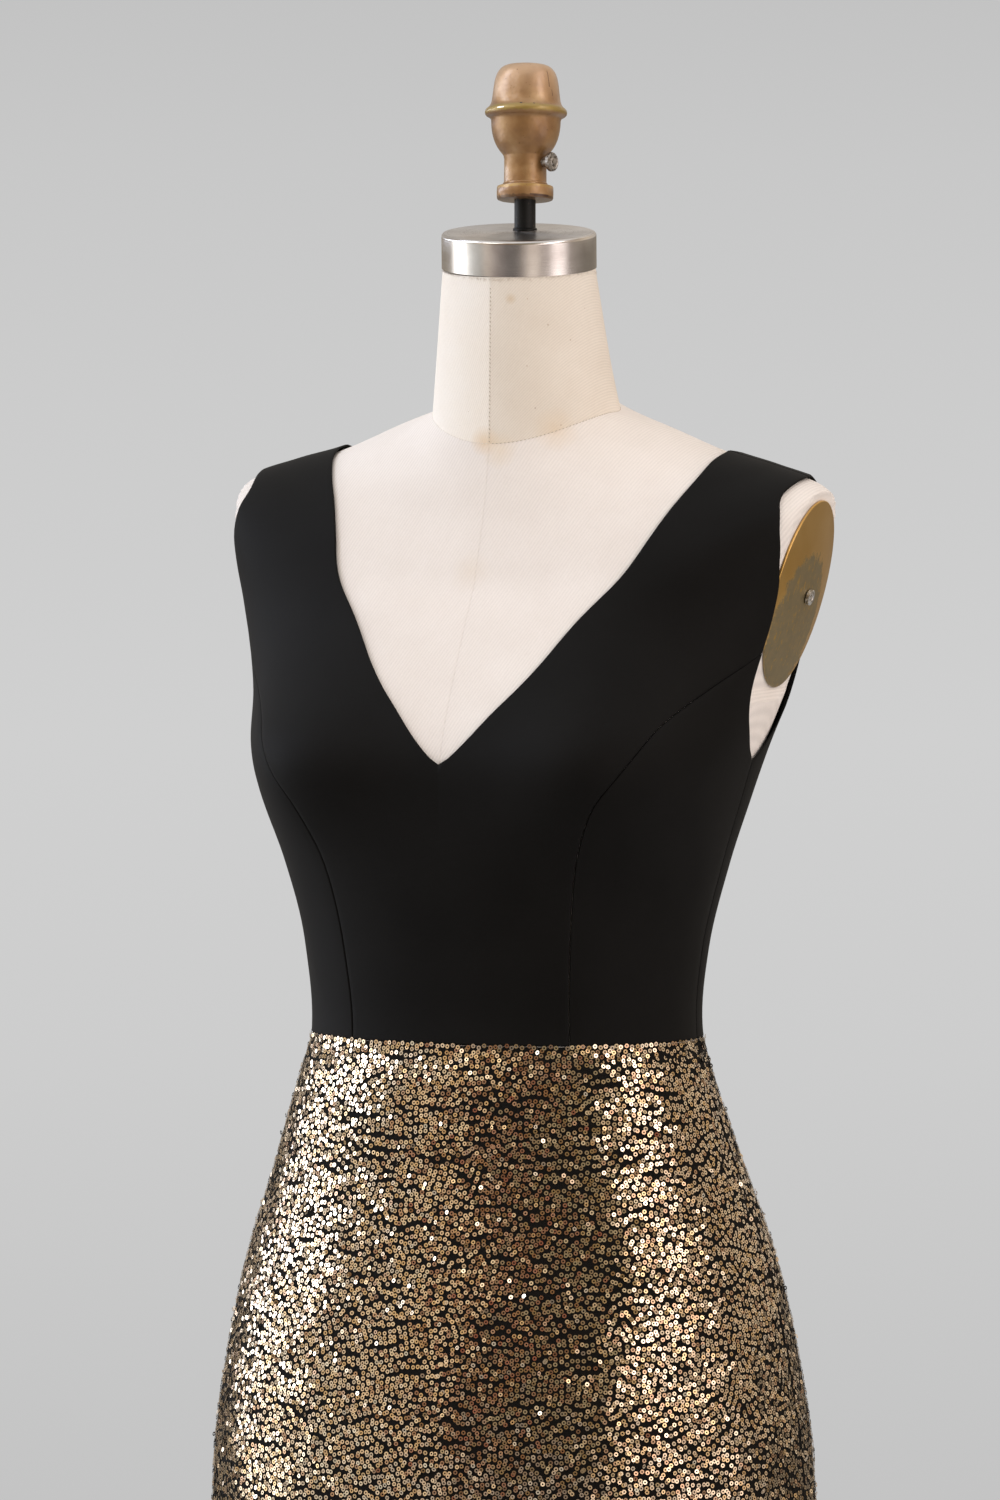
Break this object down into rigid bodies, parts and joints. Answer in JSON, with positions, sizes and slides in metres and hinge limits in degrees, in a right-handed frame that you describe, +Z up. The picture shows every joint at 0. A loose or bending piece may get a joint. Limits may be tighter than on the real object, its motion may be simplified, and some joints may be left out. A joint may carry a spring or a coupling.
{
  "type": "sleeveless sequin maxi dress on a limbless dress form",
  "caption": "Floor-length dress with a black crepe V-neck bodice and a gold sequin skirt, standing on a canvas dress form with a neck knob.",
  "frame": {"origin": "on the floor, under the middle of the hem", "axes": "+Z up along the dress form, -Y the front of the dress, +X the wearer's left side"},
  "size_m": [0.468, 0.4216, 1.6661],
  "materials": {
    "black_crepe": "matte black crepe with a fine grain",
    "gold_sequins": "black mesh covered with champagne-gold sequins, glossy",
    "canvas": "natural cream canvas, matte, lightly stained",
    "brushed_steel": "turned and brushed",
    "bronze_paint": "worn glossy bronze paint",
    "aged_brass": "aged brass with a grey-green patina",
    "black_steel": "black, satin, worn in spots"
  },
  "bodies": {
    "dress_on_form": {"bodice_centre_front": "black_crepe", "bodice_side_front_left": "black_crepe", "bodice_side_front_right": "black_crepe", "bodice_side_back_left": "black_crepe", "bodice_side_back_right": "black_crepe", "bodice_centre_back_left": "black_crepe", "bodice_centre_back_right": "black_crepe", "skirt_front": "gold_sequins", "skirt_back_left": "gold_sequins", "skirt_back_right": "gold_sequins", "zip_slider": "black_steel", "form_torso": "canvas", "neck_cap": "brushed_steel", "neck_rod": "black_steel", "knob": "bronze_paint", "arm_plate_left": "aged_brass", "arm_plate_right": "aged_brass", "arm_nut_left": "brushed_steel", "arm_nut_right": "brushed_steel", "stand_pole": "black_steel", "stand_base": "black_steel"},
    "zip_pull_tab": {"zip_pull": "black_steel"},
    "knob_thumbscrew": {"thumbscrew": "brushed_steel"}
  },
  "joints": [
    {"name": "zip_pull_swing", "type": "hinge", "parent": "dress_on_form", "child": "zip_pull_tab", "pos_m": [0, 0.12043, 1.29028], "axis": [1, 0, 0], "range_deg": [0, 140]},
    {"name": "thumbscrew_turn", "type": "hinge", "parent": "dress_on_form", "child": "knob_thumbscrew", "pos_m": [-0.00098, 0.01613, 1.60446], "axis": [0.9772, -0.1999, 0.0712], "continuous": true}
  ]
}
